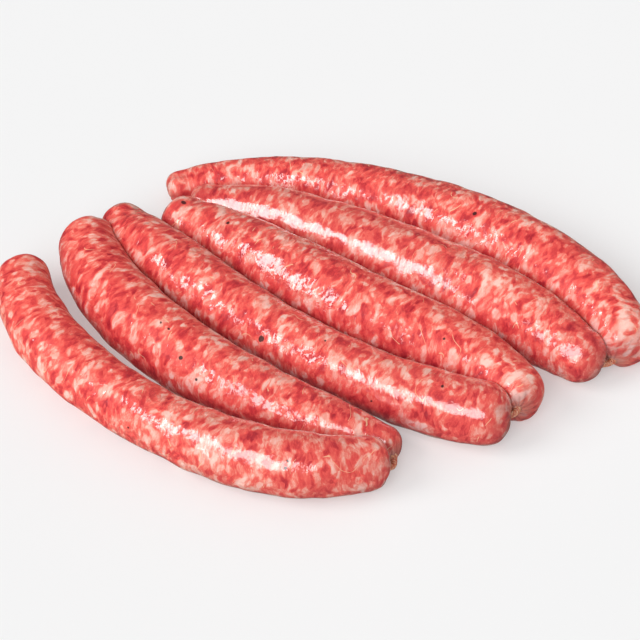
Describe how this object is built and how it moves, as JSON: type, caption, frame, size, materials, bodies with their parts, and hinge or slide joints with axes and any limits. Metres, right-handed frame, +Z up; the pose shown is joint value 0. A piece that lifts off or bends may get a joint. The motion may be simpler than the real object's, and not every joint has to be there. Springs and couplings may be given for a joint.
{
  "type": "string of sausage links",
  "caption": "Raw pork sausage links in one natural casing, joined by short twists and folded to and fro side by side.",
  "frame": {"origin": "on the resting surface, under the middle of the whole string's box", "axes": "+X along the links towards the front joins, +Y from the first link across to the last one, +Z up"},
  "size_m": [0.2242, 0.1758, 0.0297],
  "materials": {
    "raw_pork": "wet natural casing over coarse raw pork, red with pale fat",
    "casing": "bare twisted casing, moist, tan to pale orange"
  },
  "bodies": {
    "root": {"link_1": "raw_pork", "link_2": "raw_pork", "link_3": "raw_pork", "link_4": "raw_pork", "link_5": "raw_pork", "link_6": "raw_pork", "twist_1_2": "casing", "twist_2_3": "casing", "twist_3_4": "casing", "twist_4_5": "casing", "twist_5_6": "casing"}
  },
  "joints": []
}
